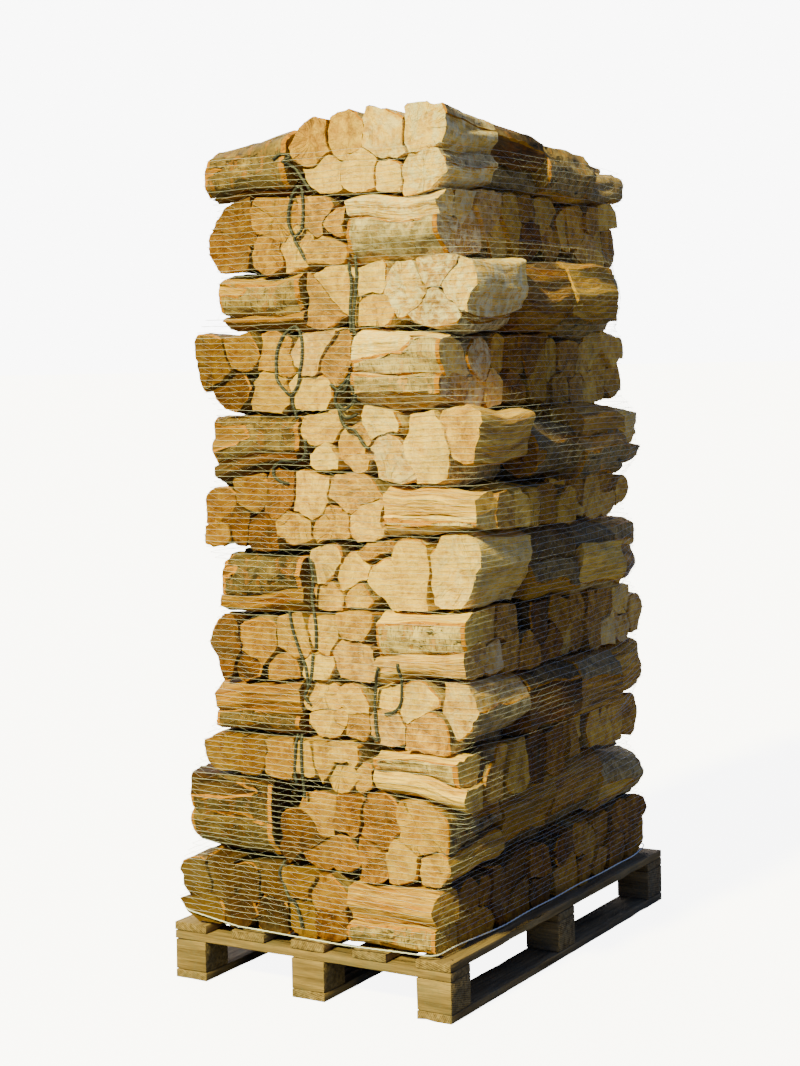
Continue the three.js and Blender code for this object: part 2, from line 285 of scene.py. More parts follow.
def sawnFinish(grime, paintedLightAndBleach):
    material, tree, shader = newMaterial("sawnEnd", wood["shine"])
    coord, paintedLightAndTone, first, second, place = logInputs(tree)
    flat = scaled(tree, coord, (1, 0, 1))
    out = addNode(tree, "ShaderNodeVectorMath", {0: flat}, operation="LENGTH").outputs["Value"]
    wobble = noiseOf(tree, coord, 34, 2)
    turn = calc(tree, "MULTIPLY_ADD", wobble, 0.006, out)
    rings = calc(tree, "SINE", calc(tree, "MULTIPLY", turn, 2 * math.pi / 0.0027))
    way = addNode(tree, "ShaderNodeVectorMath", {0: flat}, operation="NORMALIZE").outputs[0]
    step = addNode(tree, "ShaderNodeCombineXYZ", {1: calc(tree, "MULTIPLY", second, 40)}).outputs[0]
    spoke = addNode(tree, "ShaderNodeVectorMath", {0: scaled(tree, way, (1.7, 1.7, 1.7)), 1: step}, operation="ADD")
    ray = calc(tree, "ABSOLUTE", calc(tree, "SUBTRACT", noiseOf(tree, spoke.outputs[0], 2.6, 2), 0.5))
    open_ = calc(tree, "MULTIPLY", between(tree, noiseOf(tree, coord, 22, 1), 0.42, 0.6), 0.013)
    crack = between(tree, calc(tree, "DIVIDE", ray, calc(tree, "ADD", open_, 0.0005)), 0.4, 1.0, 1, 0)
    crack = calc(tree, "MULTIPLY", crack, between(tree, second, 0.5, 0.8, 0.1, 0.7))
    kerf = noiseOf(tree, scaled(tree, coord, (700, 1, 25)), 1, 2)
    patch = noiseOf(tree, coord, 38, 6, 0.7)
    fuzz = noiseOf(tree, coord, 300, 4, 0.7)
    tone = calc(tree, "MULTIPLY_ADD", first, 0.50, calc(tree, "MULTIPLY_ADD", patch, 1.6, -0.80))
    tone = calc(tree, "MULTIPLY_ADD", fuzz, 0.42, tone)
    tone = calc(tree, "MULTIPLY_ADD", rings, 0.022, calc(tree, "MULTIPLY_ADD", kerf, 0.12, tone))
    colour = rampOf(tree, tone, (
        (0.16, wood["sawnDark"]), (0.36, wood["amber"]), (0.56, wood["sawnMid"]), (0.82, wood["sawnPale"]),
    ))
    colour = mixed(tree, crack, colour, wood["brown"])
    # painted light and shade, with pale patches
    colour = paintLightAndBleach(tree, paintedLightAndBleach, colour, coord, paintedLightAndTone)
    shade = useGroup(tree, grime, {"Colour": colour, "Coord": place, "Grime": (*wood["grime"], 1), "Amount": 0.4})
    height = calc(tree, "SUBTRACT", calc(tree, "MULTIPLY", kerf, 0.5), crack)
    height = calc(tree, "MULTIPLY_ADD", fuzz, 0.6, calc(tree, "MULTIPLY_ADD", patch, 1.6, height))
    wire(tree, shader, shade["Colour"], between(tree, patch, 0, 1, 0.7, 0.9), bumpOf(tree, height, 0.005))
    return material


def barkFinish(grime, paintedLightAndBleach):
    material, tree, shader = newMaterial("birchBark", wood["shine"])
    coord, paintedLightAndTone, first, second, place = logInputs(tree)
    patch = noiseOf(tree, scaled(tree, coord, (42, 30, 42)), 1, 5, 0.68)
    tone = calc(tree, "MULTIPLY_ADD", patch, 1.5, calc(tree, "MULTIPLY_ADD", first, 0.3, -0.45))
    colour = rampOf(tree, tone, ((0.2, wood["barkGrey"]), (0.45, wood["barkMid"]), (0.7, wood["barkPale"])))
    dash = noiseOf(tree, scaled(tree, coord, (55, 380, 55)), 1, 2)
    dash = calc(tree, "MULTIPLY", between(tree, dash, 0.58, 0.66), 0.75)
    colour = mixed(tree, dash, colour, wood["barkDark"])
    peel = between(tree, noiseOf(tree, scaled(tree, coord, (30, 55, 30)), 1, 4, 0.6), 0.56, 0.60)
    peel = calc(tree, "MULTIPLY", peel, between(tree, second, 0.2, 0.8, 0.3, 0.9))
    colour = mixed(tree, peel, colour, wood["barkRust"])
    split = noiseOf(tree, scaled(tree, coord, (60, 17, 60)), 1, 5, 0.7)
    rough = between(tree, second, 0.5, 0.75)
    split = calc(tree, "MULTIPLY", between(tree, split, 0.57, 0.64), rough)
    colour = mixed(tree, split, colour, wood["barkDark"])
    # bark takes a weaker share of the painted light and shade
    colour = paintLightAndBleach(tree, paintedLightAndBleach, colour, coord, calc(tree, "MULTIPLY_ADD", paintedLightAndTone, 0.7, 0.25))
    shade = useGroup(tree, grime, {"Colour": colour, "Coord": place, "Grime": (*wood["grime"], 1), "Amount": 0.6})
    height = calc(tree, "SUBTRACT", calc(tree, "MULTIPLY", patch, 0.6), calc(tree, "MULTIPLY", dash, 0.3))
    height = calc(tree, "SUBTRACT", height, calc(tree, "ADD", split, calc(tree, "MULTIPLY", peel, 0.4)))
    wire(tree, shader, shade["Colour"], between(tree, patch, 0, 1, 0.55, 0.85), bumpOf(tree, height, 0.003))
    return material


def rimFinish():
    material, tree, shader = newMaterial("innerBark", wood["shine"])
    coord, paintedLightAndTone, first, second, place = logInputs(tree)
    patch = noiseOf(tree, scaled(tree, coord, (120, 60, 120)), 1, 3)
    colour = rampOf(tree, patch, ((0.28, wood["brown"]), (0.40, wood["tornDark"]), (0.50, wood["torn"])))
    wire(tree, shader, colour, between(tree, patch, 0, 1, 0.7, 0.9), bumpOf(tree, patch, 0.002))
    return material


def boardFinish(fibres, grime, ends):
    material, tree, shader = newMaterial("palletEnds" if ends else "palletBoards", wood["shine"])
    coord = addNode(tree, "ShaderNodeAttribute", attribute_name="boardCoord").outputs["Vector"]
    place = addNode(tree, "ShaderNodeTexCoord").outputs["Object"]
    if ends:
        flat = scaled(tree, coord, (1, 0, 1))
        turn = addNode(tree, "ShaderNodeVectorMath", {0: flat, 1: (0.03, 0, 0.09)}, operation="DISTANCE")
        wide = calc(tree, "MULTIPLY", turn.outputs["Value"], 2 * math.pi / 0.005)
        streak = calc(tree, "MULTIPLY_ADD", calc(tree, "SINE", wide), 0.12, noiseOf(tree, coord, 90, 4))
        fine = noiseOf(tree, scaled(tree, coord, (500, 1, 500)), 1, 2)
    else:
        grain = useGroup(tree, fibres, {"Coord": coord, "Size": 0.8})
        streak, fine = grain["Streak"], grain["Fine"]
    colour = rampOf(tree, streak, (
        (0.25, (0.06, 0.038, 0.024)), (0.45, (0.18, 0.124, 0.072)), (0.6, (0.27, 0.190, 0.110)), (0.8, (0.38, 0.29, 0.18)),
    ))
    line = between(tree, fine, 0.3, 0.7, 0.7, 1.1)
    colour = addNode(tree, "ShaderNodeVectorMath", {0: colour, "Scale": line}, operation="SCALE").outputs[0]
    shade = useGroup(tree, grime, {"Colour": colour, "Coord": place, "Grime": (0.13, 0.12, 0.10, 1), "Amount": 0.65})
    height = calc(tree, "MULTIPLY_ADD", fine, 0.4, streak)
    wire(tree, shader, shade["Colour"], between(tree, fine, 0, 1, 0.7, 0.95), bumpOf(tree, height, 0.003))
    return material


def steelFinish():
    material, tree, shader = newMaterial("nailSteel")
    place = addNode(tree, "ShaderNodeTexCoord").outputs["Object"]
    rust = noiseOf(tree, place, 400, 3)
    colour = rampOf(tree, rust, ((0.4, (0.10, 0.09, 0.08)), (0.62, (0.19, 0.08, 0.03))))
    shader.inputs["Metallic"].default_value = 0.6
    wire(tree, shader, colour, between(tree, rust, 0, 1, 0.45, 0.8), bumpOf(tree, rust, 0.0004))
    return material


def plasticFinish(name, dark, light, low, high, scale):
    material, tree, shader = newMaterial(name)
    place = addNode(tree, "ShaderNodeTexCoord").outputs["Object"]
    patch = noiseOf(tree, place, scale, 3)
    colour = rampOf(tree, patch, ((0.35, dark), (0.65, light)))
    wire(tree, shader, colour, between(tree, patch, 0.3, 0.7, low, high), bumpOf(tree, patch, 0.0003))
    return material


# The load: heights of the layers' tops over its four corners, in millimetres from the deck up

load = {
    "frontLeft": [144, 330, 535, 635, 755, 915, 1075, 1240, 1415, 1620, 1735, 1925, 2045],
    "frontRight": [144, 300, 495, 635, 800, 965, 1140, 1240, 1435, 1600, 1770, 1915, 2125],
    "backRight": [144, 325, 495, 615, 765, 920, 1100, 1235, 1395, 1585, 1765, 1940, 2035],
    "backLeft": [144, 320, 505, 630, 775, 930, 1095, 1240, 1410, 1600, 1755, 1925, 2050],
    "cornerX": (-0.300, 0.400),
    "cornerY": (-0.590, 0.500),
    "bagsInRow": 4,
    "stepIn": [0, 0, 0, 56, 69, 61, 93, 107, 91, 39, 111, 33, 26],   # of the far bags on the right
    "layerGap": 0.0005,
    "hump": {7: (50, 0.030, 0.260), 12: (26, 0.100, 0.200)},   # layers that rise at the front: height, middle, reach
    "humpY": 0.500,
    "waver": 18,
}


def layerTop(layer, x, y):
    (x0, x1), (y0, y1) = load["cornerX"], load["cornerY"]
    across, along = (x - x0) / (x1 - x0), (y - y0) / (y1 - y0)
    front = load["frontLeft"][layer] * (1 - across) + load["frontRight"][layer] * across
    back = load["backLeft"][layer] * (1 - across) + load["backRight"][layer] * across
    most, middle, reach = load["hump"].get(layer, (0, 0, 1))
    rise = most * max(0, 1 - ((x - middle) / reach) ** 2) * max(0, 1 - (y - y0) / load["humpY"])
    if 0 < layer < len(load["frontLeft"]) - 1:
        rise += load["waver"] * noise.noise(Vector((x * 7, y * 7, layer * 3.7)))
    return (front * (1 - along) + back * along + rise) * mm


def planBags():
    # each bag: its node, its box in plan, the way its logs run and which of its ends show
    bags = []
    for layer in range(1, len(load["frontLeft"])):
        low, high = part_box(f"layer_{layer:02d}_bag_row")
        count = load["bagsInRow"]
        pitch = (high.y - low.y) / count
        for i in range(count):
            far = i >= count - (1 if layer % 2 == 0 else 2)
            right = high.x - load["stepIn"][layer] * mm * far
            bags.append({
                "node": f"layer_{layer:02d}_bag_row", "layer": layer, "alongX": False, "number": i,
                "low": (low.x, low.y + i * pitch), "high": (right, low.y + (i + 1) * pitch),
                "shows": (i == 0, i == count - 1),
            })
        for i, place in enumerate(("front", "back")):
            low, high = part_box(f"layer_{layer:02d}_bag_{place}")
            faceRight = layer % 2 == 1
            bags.append({
                "node": f"layer_{layer:02d}_bag_{place}", "layer": layer, "alongX": True, "number": count + i,
                "low": (low.x, low.y), "high": (high.x, high.y),
                "shows": (not faceRight, faceRight),
            })
    for bag in bags:
        (x0, y0), (x1, y1) = bag["low"], bag["high"]
        bag["width"], bag["length"] = (y1 - y0, x1 - x0) if bag["alongX"] else (x1 - x0, y1 - y0)
        x, y = (x0 + x1) / 2, (y0 + y1) / 2
        bag["height"] = layerTop(bag["layer"], x, y) - layerTop(bag["layer"] - 1, x, y)
    return bags


def settle(bag, u, a, v):
    # from a bag's own width, length and height to the place in the load, between the layers
    (x0, y0), (x1, y1) = bag["low"], bag["high"]
    x, y = (x0 + a, y1 - u) if bag["alongX"] else (x0 + u, y0 + a)
    low = layerTop(bag["layer"] - 1, x, y) + load["layerGap"]
    high = layerTop(bag["layer"], x, y) - load["layerGap"]
    return Vector((x, y, low + (high - low) * v / bag["height"]))


# Split logs

logs = {
    "section": 0.0086,     # a log's mean cross-section, square metres
    "sides": 26,           # of the round stem that it is split from
    "cell": 0.0125,        # between the lines that let a face take its shape
    "hiddenCell": 0.040,
    "lengthCell": 0.028,
    "seenDepth": 0.13,     # how far in from the load's side a log of a middle bag still shows
    "gap": 0.0003,         # between two logs, each side
    "endsBack": 0.014,     # the most that an end stands back where it shows
    "endTilt": 0.045,
    "slant": 0.14,
    "warp": 0.014,         # how far the walls between logs wander, and the finer waves on them
    "warpFine": 0.0055,
    "roughness": 0.0026,
    "shrink": 0.0003,
    "bend": 0.004,
    "corner": (0.045, 0.019),
    "innerCorner": (0.030, 0.008),
    "edgeOut": 0.008,             # evening out draws the outer edge in again by as much
    "faceUp": (0.06, 0.42),       # tilts of the faces above and below a log's outer edge
    "faceDown": (0.14, 0.55),
    "faceTop": (0.02, 0.14),      # and of the one above it in the top layer
    "underStem": (0.050, 0.085),
    "sharp": math.radians(38),
    "barkThick": (0.0016, 0.0038),
    "tornNarrow": (0.002, 0.005),
    "tornWide": (0.0080, 0.0130),
    "tornAbove": 0.014,
    "barkRagged": 0.007,
}
barkSlot, splitSlot, sawnSlot, rimSlot = 0, 1, 2, 3


# Logs whose places the photograph shows, millimetres: x and z of the ends in each front bag of a row

frontEnds = {
    12: [(62, 2040), (150, 2052), (250, 2040), (350, 2052), (95, 1958), (185, 1962), (268, 1952), (352, 1955)],
    11: [(-158, 1872), (-55, 1884), (-188, 1788), (-75, 1772), (8, 1795), (58, 1886), (88, 1788), (125, 1862)],
    10: [(75, 1662), (130, 1704), (212, 1730), (225, 1645), (308, 1695), (385, 1738), (392, 1640), (450, 1690)],
    9: [(-242, 1535), (-190, 1455), (-150, 1568), (-58, 1545), (-78, 1452), (48, 1560), (48, 1468), (122, 1520)],
    8: [(62, 1385), (58, 1290), (150, 1350), (165, 1268), (222, 1405), (245, 1312), (352, 1342), (452, 1395)],
    7: [
        (-245, 1198), (-248, 1112), (-190, 1150), (-148, 1222), (-112, 1128), (-58, 1215), (-15, 1135),
        (32, 1212), (85, 1160), (150, 1222), (190, 1168),
    ],
    6: [(58, 1072), (62, 972), (135, 1048), (150, 962), (212, 1040), (195, 1108), (290, 1062), (405, 1068)],
    5: [
        (-238, 845), (-130, 866), (-165, 782), (-62, 785), (-22, 880), (60, 905), (52, 805), (150, 928),
        (135, 835),
    ],
    4: [(48, 738), (62, 662), (130, 738), (150, 660), (232, 762), (225, 680), (312, 742), (335, 665), (425, 730)],
    3: [(-240, 592), (-148, 588), (-75, 585), (-8, 582), (48, 598), (112, 618), (100, 545), (160, 560)],
    2: [
        (-22, 392), (32, 445), (18, 335), (92, 366), (112, 442), (170, 350), (200, 432), (262, 362), (300, 438),
        (335, 345),
    ],
    1: [
        (-340, 262), (-260, 270), (-180, 270), (-105, 268), (-30, 275), (50, 262), (-310, 182), (-210, 185),
        (-110, 185), (-20, 190), (62, 190),
    ],
}

# y and z of the logs at the front of each column, where their bark is, and how far their edge rises to the right

frontSides = {
    12: [(-545, 1985, "under", 14), (-520, 1938, "inner", 8)],
    11: [(-548, 1832, "outer", 0), (-552, 1885, "inner", 4)],
    10: [(-545, 1682, "under", 4), (-530, 1630, "inner", 0)],
    9: [(-548, 1535, "under", 13), (-545, 1468, "outer", 4)],
    8: [(-548, 1345, "under", 14), (-540, 1272, "inner", 10)],
    7: [(-550, 1212, "inner", 3), (-545, 1165, "under", -4)],
    6: [(-548, 1020, "under", 7), (-548, 950, "inner", 2)],
    5: [(-545, 915, "under", 0), (-525, 842, "inner", 0)],
    4: [(-550, 722, "inner", 3), (-550, 672, "outer", 0)],
    3: [(-550, 605, "under", 5), (-550, 540, "inner", 0)],
    2: [(-545, 465, "under", 3), (-545, 395, "outer", 4)],
    1: [(-550, 248, "inner", 2), (-535, 182, "under", 0)],
}


def placedLogs(bag):
    # the centres that the photograph gives for a bag, and the place of the bark and its edge where they're known
    (x0, y0), (x1, y1) = bag["low"], bag["high"]
    layer = bag["layer"]
    made = []
    if bag["number"] == 0:
        for x, z in frontEnds[layer]:
            at = x * mm
            rise = z * mm - layerTop(layer - 1, at, y0)
            tall = layerTop(layer, at, y0) - layerTop(layer - 1, at, y0)
            made.append((Vector((at - x0, rise / tall * bag["height"])), None))
    if bag["number"] == load["bagsInRow"]:
        middle = (x0 + x1) / 2
        for y, z, bark, slope in frontSides[layer]:
            at = y * mm
            rise = z * mm - layerTop(layer - 1, middle, at)
            tall = layerTop(layer, middle, at) - layerTop(layer - 1, middle, at)
            made.append((Vector((y1 - at, rise / tall * bag["height"])), (bark, math.radians(slope))))
    for point, _ in made:
        point.x = min(max(point.x, 0.020), bag["width"] - 0.020)
        point.y = min(max(point.y, 0.018), bag["height"] - 0.018)
    return made


def scatterLogs(dice, bag):
    # centres of the logs over the bag's cross-section: those that are known, then others well apart
    width, height = bag["width"], bag["height"]
    count = max(4, round(width * height / logs["section"]))
    margin = 0.40 * math.sqrt(logs["section"])
    placed = placedLogs(bag)
    if bag["number"] == 0:
        count = len(placed)
    points = [point for point, _ in placed]
    while len(points) < count:
        tries = [
            Vector((dice.uniform(margin, width - margin), dice.uniform(margin, height - margin)))
            for _ in range(40)
        ]
        points.append(max(tries, key=lambda p: min([(p - q).length for q in points], default=0)))
    return points, [bark for _, bark in placed] + [None] * (count - len(placed))


def outerSide(bag):
    # which side of a bag is at the outside of the load: 0 where its width starts, 1 where it ends
    if bag["alongX"]:
        return 1 if bag["number"] == load["bagsInRow"] else 0
    return 1 if bag["layer"] % 2 == 0 else 0


def sideWalls(dice, bag, centre, bark):
    # the outer side of a log comes to an edge between a face turned up and one turned down
    outer = outerSide(bag)
    inner = Vector((bag["width"] * (1 - outer), centre.y))
    walls = [(inner, Matrix.Rotation(dice.uniform(-0.08, 0.08), 2) @ Vector((1 - 2 * outer, 0)), 0)]
    out = logs["edgeOut"] * (2 * outer - 1)
    edge = Vector((bag["width"] * outer + out, centre.y + dice.uniform(-0.008, 0.010)))
    kind, slope = bark or ("", dice.uniform(-0.08, 0.08))
    onTop = bag["layer"] == len(load["frontLeft"]) - 1
    for rise, (low, high) in ((1, logs["faceTop"] if onTop else logs["faceUp"]), (-1, logs["faceDown"])):
        tilt = dice.uniform(low, high)
        if (kind, rise) == ("under", -1) or kind == "outer":
            continue
        normal = Vector((math.cos(tilt) * (2 * outer - 1), math.sin(tilt) * rise * math.cos(slope)))
        # bark that turns under a log shows its torn edge on the front, above the turn
        start = edge + Vector((0, logs["tornAbove"] if kind == "under" else 0))
        walls.append((start, normal, -math.sin(tilt) * rise * math.sin(slope)))
    return walls, edge


def wallsRound(dice, bag, centre, others, bark):
    # planes that a log is split along: half way to its neighbours, and the outline of its bag
    width, height = bag["width"], bag["height"]
    half = 0.5 * math.sqrt(logs["section"])
    walls, edge = sideWalls(dice, bag, centre, bark)
    for other in others:
        away = other - centre
        if 0 < away.length < 6 * half:
            normal = away.normalized()
            middle = (centre + other) / 2
            # the wall between two logs slants the same way for both of them
            slant = logs["slant"] * noise.noise(Vector((middle.x * 90, middle.y * 90, bag["layer"] * 5.3)))
            if (other.x, other.y) < (centre.x, centre.y):
                slant = -slant
            walls.append((middle - normal * logs["gap"], normal, slant))
    for point, normal in ((Vector((centre.x, 0)), Vector((0, -1))), (Vector((centre.x, height)), Vector((0, 1)))):
        tilt = dice.uniform(-0.16, 0.16)
        turned = Matrix.Rotation(tilt, 2) @ normal
        walls.append((point - normal * half * abs(math.sin(tilt)) * 0.6, turned, dice.uniform(-0.03, 0.03)))
    for cornerX, sideX, (reach, drop) in (
        (width * outerSide(bag), 2 * outerSide(bag) - 1, logs["corner"]),
        (width * (1 - outerSide(bag)), 1 - 2 * outerSide(bag), logs["innerCorner"]),
    ):
        for cornerY, sideY in ((0, -1), (height, 1)):
            normal = Vector((sideX * drop, sideY * reach)).normalized()
            walls.append((Vector((cornerX, cornerY - sideY * drop)), normal, 0))
    return walls, edge


def reachOf(walls, centre, way):
    return min((p - centre).dot(n) / way.dot(n) for p, n, _ in walls if way.dot(n) > 0.05)


def chooseStem(dice, bag, centre, walls, edge, bark):
    # the round stem that the log was split from: its bark mostly faces out of the bag
    side = (centre.x / bag["width"] - 0.5) * 2
    rise = (centre.y / bag["height"] - 0.5) * 2
    outward = math.atan2(rise, side ** 3) if dice.random() < 0.5 else dice.uniform(-math.pi, math.pi)
    turn = outward + dice.uniform(-0.8, 0.8)
    size = dice.choice((1.06, 1.2, 1.4, 1.7, 2.1))
    if bark and bark[0] == "under":
        # its bark starts at the log's outer edge and turns under the log
        radius, turn = dice.uniform(*logs["underStem"]), dice.uniform(-0.15, 0.05)
        return edge - Vector((math.cos(turn), math.sin(turn))) * radius, radius
    if bark:
        turn = dice.uniform(-0.1, 0.4) + (math.pi if bark[0] == "inner" else 0)
        size = max(size, 1.3)
    way = Vector((math.cos(turn), math.sin(turn)))
    ahead, behind = reachOf(walls, centre, way), reachOf(walls, centre, -way)
    if bark and bark[0] == "outer":
        ahead = (edge.x - centre.x) / way.x
    radius = (ahead + behind) / 2 * size
    return centre + way * (ahead - radius - dice.uniform(0, 0.003)), radius


def everything(bm):
    return bm.verts[:] + bm.edges[:] + bm.faces[:]


def cleave(bm, point, normal, slot):
    # takes off what lies beyond the plane and closes the cut with one face
    cut = bmesh.ops.bisect_plane(
        bm, geom=everything(bm), dist=1e-6, plane_co=point, plane_no=normal, clear_outer=True
    )
    rim = [g for g in cut["geom_cut"] if isinstance(g, bmesh.types.BMEdge)]
    if len(rim) > 2:
        for face in bmesh.ops.contextual_create(bm, geom=rim)["faces"]:
            face.material_index = slot


def scoreLine(bm, point, normal):
    bmesh.ops.bisect_plane(bm, geom=everything(bm), dist=1e-6, plane_co=point, plane_no=normal)


def splitLog(dice, bag, centre, others, bark):
    # one log in its bag's own coordinates: x over the width, y along the log, z up
    walls, edge = wallsRound(dice, bag, centre, others, bark)
    pith, radius = chooseStem(dice, bag, centre, walls, edge, bark)
    length = bag["length"]
    back = [
        logs["endsBack"] * dice.random() ** 1.5 if shows else 0.001 + 0.005 * dice.random()
        for shows in bag["shows"]
    ]
    start, stop = back[0], length - back[1]
    bm = bmesh.new()
    bmesh.ops.create_cone(
        bm, cap_ends=True, segments=logs["sides"], radius1=radius, radius2=radius * dice.uniform(0.96, 1.04),
        depth=length + 0.1,
        matrix=Matrix.Translation((pith.x, length / 2, pith.y)) @ Matrix.Rotation(math.pi / 2, 4, "X"),
    )
    for point, normal, slant in walls:
        cleave(bm, (point.x, length / 2, point.y), (normal.x, slant, normal.y), splitSlot)
    for end, way in ((start, -1), (stop, 1)):
        tilt = (dice.gauss(0, logs["endTilt"]), way, dice.gauss(0, logs["endTilt"]))
        cleave(bm, (centre.x, end, centre.y), tilt, sawnSlot)
    seen = isSeen(bag, centre)
    scoreGrid(dice, bm, centre, (start, stop), logs["cell"] if seen else logs["hiddenCell"])
    bmesh.ops.recalc_face_normals(bm, faces=bm.faces[:])
    if seen:
        bmesh.ops.smooth_vert(
            bm, verts=bm.verts[:], factor=0.55, use_axis_x=True, use_axis_y=False, use_axis_z=True
        )
    raiseBark(dice, bm, logs["tornWide"] if bark else logs["tornNarrow"])
    roughen(dice, bag, bm, centre, pith, paintedLightingAndToneOf(dice, bag, centre), (start, stop))
    return bm


def isSeen(bag, centre):
    # whether a log lies at the outside of the load
    outer = bag["width"] - centre.x if bag["layer"] % 2 == 0 else centre.x
    onTop = bag["layer"] == len(load["frontLeft"]) - 1
    return any(bag["shows"]) or onTop or outer < logs["seenDepth"]


def scoreGrid(dice, bm, centre, ends, cell):
    # lines along and across the log, so that its faces can take a shape
    reach = max((Vector((v.co.x, v.co.z)) - centre).length for v in bm.verts)
    turn = dice.uniform(0, math.pi / 2)
    count = int(reach / cell)
    for way in (Vector((math.cos(turn), 0, math.sin(turn))), Vector((-math.sin(turn), 0, math.cos(turn)))):
        for i in range(-count, count + 1):
            scoreLine(bm, Vector((centre.x, 0, centre.y)) + way * (cell * i), way)
    cuts = round((ends[1] - ends[0]) / max(cell, logs["lengthCell"]))
    for i in range(1, cuts):
        scoreLine(bm, (0, ends[0] + (ends[1] - ends[0]) * i / cuts, 0), (0, 1, 0))


def raiseBark(dice, bm, torn):
    # the bark is a skin over the wood, and its broken edge shows the orange inner bark
    skin = [face for face in bm.faces if face.material_index == barkSlot]
    if not skin:
        return
    rim = bmesh.ops.inset_region(
        bm, faces=skin, use_boundary=True, use_even_offset=False,
        thickness=dice.uniform(*torn), depth=dice.uniform(*logs["barkThick"]),
    )
    for face in rim["faces"]:
        face.material_index = rimSlot


def stepped(value, low, high):
    part = min(max((value - low) / (high - low), 0), 1)
    return part * part * (3 - 2 * part)


def paintedLightingAndToneOf(dice, bag, centre):
    # painted light and shade in the wood's colour: brightest at the near corner, where the light falls, with painted
    # shade on the left of the front and on the side behind the corner; darker towards the foot; and a random tone
    # for each log
    at = settle(bag, centre.x, bag["length"] / 2, centre.y)
    right, near = stepped(at.x, -0.18, 0.08), stepped(at.x, 0.10, 0.36)
    left = 0.44 + 0.18 * stepped(at.z, 1.85, 1.95)
    value = left + (1.04 - left) * right + (0.12 + 0.32 * stepped(at.z, 1.3, 1.6)) * near
    side = 0.54 + 0.58 * stepped(at.y, -0.25, 0.20)
    value = side + (value - side) * stepped(-at.y, 0.20, 0.40)
    value *= 1 - (0.70 - 0.20 * right - 0.22 * near) * stepped(-at.z, -0.75, -0.30)
    return max(value + dice.gauss(0, 0.08), 0.14)


def warpOf(at, bag, tall):
    # the walls of all the logs in a bag wander together, so that they still fit each other
    shift = Vector((bag["layer"] * 7.1, bag["number"] * 3.7, 0))
    wide = noise.noise_vector(Vector((at.x * 19, at.y * 5, at.z * 19)) + shift) * logs["warp"]
    fine = noise.noise_vector(Vector((at.x * 50, at.y * 13, at.z * 50)) + shift) * logs["warpFine"]
    level = at.z / tall
    within = max(0, min(1, 8 * level * (1 - level)))
    return Vector((wide.x + fine.x, 0, (wide.z + fine.z) * within))


def roughen(dice, bag, bm, centre, pith, paintedLightAndTone, ends):
    # wavy split faces and bark, a slight bend and lean, and what the materials read
    coord = bm.verts.layers.float_vector.new("logCoord")
    shape = bm.verts.layers.float_vector.new("logLightAndChance")
    # its first value is painted light and shade with a random tone, the other two are chance values
    tone = Vector((paintedLightAndTone, dice.random(), dice.random()))
    shift = Vector((dice.uniform(0, 90), dice.uniform(0, 90), dice.uniform(0, 90)))
    bend = Vector((dice.uniform(-1, 1), 0, dice.uniform(-1, 1))) * logs["bend"]
    middle, half = (ends[0] + ends[1]) / 2, (ends[1] - ends[0]) / 2
    onward = dice.randrange(100)
    bm.normal_update()
    moves = []
    for vert in bm.verts:
        at = vert.co
        vert[coord] = Vector((at.x - pith.x, at.y + onward, at.z - pith.y))
        vert[shape] = tone
        out = Vector((vert.normal.x, 0, vert.normal.z))
        wave = noise.noise(Vector((at.x * 85, at.y * 11, at.z * 85)) + shift)
        move = out * (logs["roughness"] * wave - logs["shrink"])
        part = (at.y - middle) / half
        slots = {face.material_index for face in vert.link_faces}
        if rimSlot in slots and barkSlot in slots and abs(part) < 0.97:
            torn = noise.noise(at * 55 + shift) * logs["barkRagged"]
            move += Vector((-out.z, 0, out.x)) * torn + out * abs(torn) * 0.4
        moves.append(move + warpOf(at, bag, bag["height"]) + bend * (part * part - 0.4))
    for vert, move in zip(bm.verts, moves):
        vert.co += move
    bmesh.ops.recalc_face_normals(bm, faces=bm.faces[:])
    for face in bm.faces:
        face.smooth = True
    for edge in bm.edges:
        slots = {face.material_index for face in edge.link_faces}
        onRim = sawnSlot in slots and len(slots) > 1
        edge.smooth = edge.calc_face_angle(0) < logs["sharp"] and not onRim


def newPiece(name, mesh, slot, materials, *nodes):
    obj = bpy.data.objects.new(name, mesh)
    bpy.context.scene.collection.objects.link(obj)
    for material in materials:
        mesh.materials.append(material)
    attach(obj, "root")
    if nodes:
        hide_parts(*nodes)
    return obj


def makeLogs(bags, materials):
    # one piece for each bag solid of the frame, with all its logs
    pieces = {}
    for bag in bags:
        dice = random.Random(1000 * bag["layer"] + bag["number"])
        centres, barks = scatterLogs(dice, bag)
        whole = pieces.setdefault(bag["node"], bmesh.new())
        for centre, bark in zip(centres, barks):
            log = splitLog(dice, bag, centre, centres, bark)
            for vert in log.verts:
                vert.co = settle(bag, vert.co.x, vert.co.y, vert.co.z)
            if bag["alongX"]:
                bmesh.ops.reverse_faces(log, faces=log.faces[:])
            shell = bpy.data.meshes.new("log")
            log.to_mesh(shell)
            log.free()
            whole.from_mesh(shell)
            bpy.data.meshes.remove(shell)
    made = []
    for node, whole in pieces.items():
        mesh = bpy.data.meshes.new(node + "_logs")
        bmesh.ops.recalc_face_normals(whole, faces=whole.faces[:])
        whole.to_mesh(mesh)
        whole.free()
        made.append(newPiece(node + "_logs", mesh, "firewood", materials, node))
    print("logs: pieces", len(made), "faces", sum(len(o.data.polygons) for o in made))
    return made


# Tubes for strands, threads and cords

def lineObject(name, paths, closed):
    curve = bpy.data.curves.new(name, "CURVE")
    curve.dimensions = "3D"
    for path in paths:
        line = curve.splines.new("POLY")
        line.points.add(len(path) - 1)
        line.use_cyclic_u = closed
        for point, at in zip(line.points, path):
            point.co = (*at, 1)
    obj = bpy.data.objects.new(name, curve)
    bpy.context.scene.collection.objects.link(obj)
    return obj


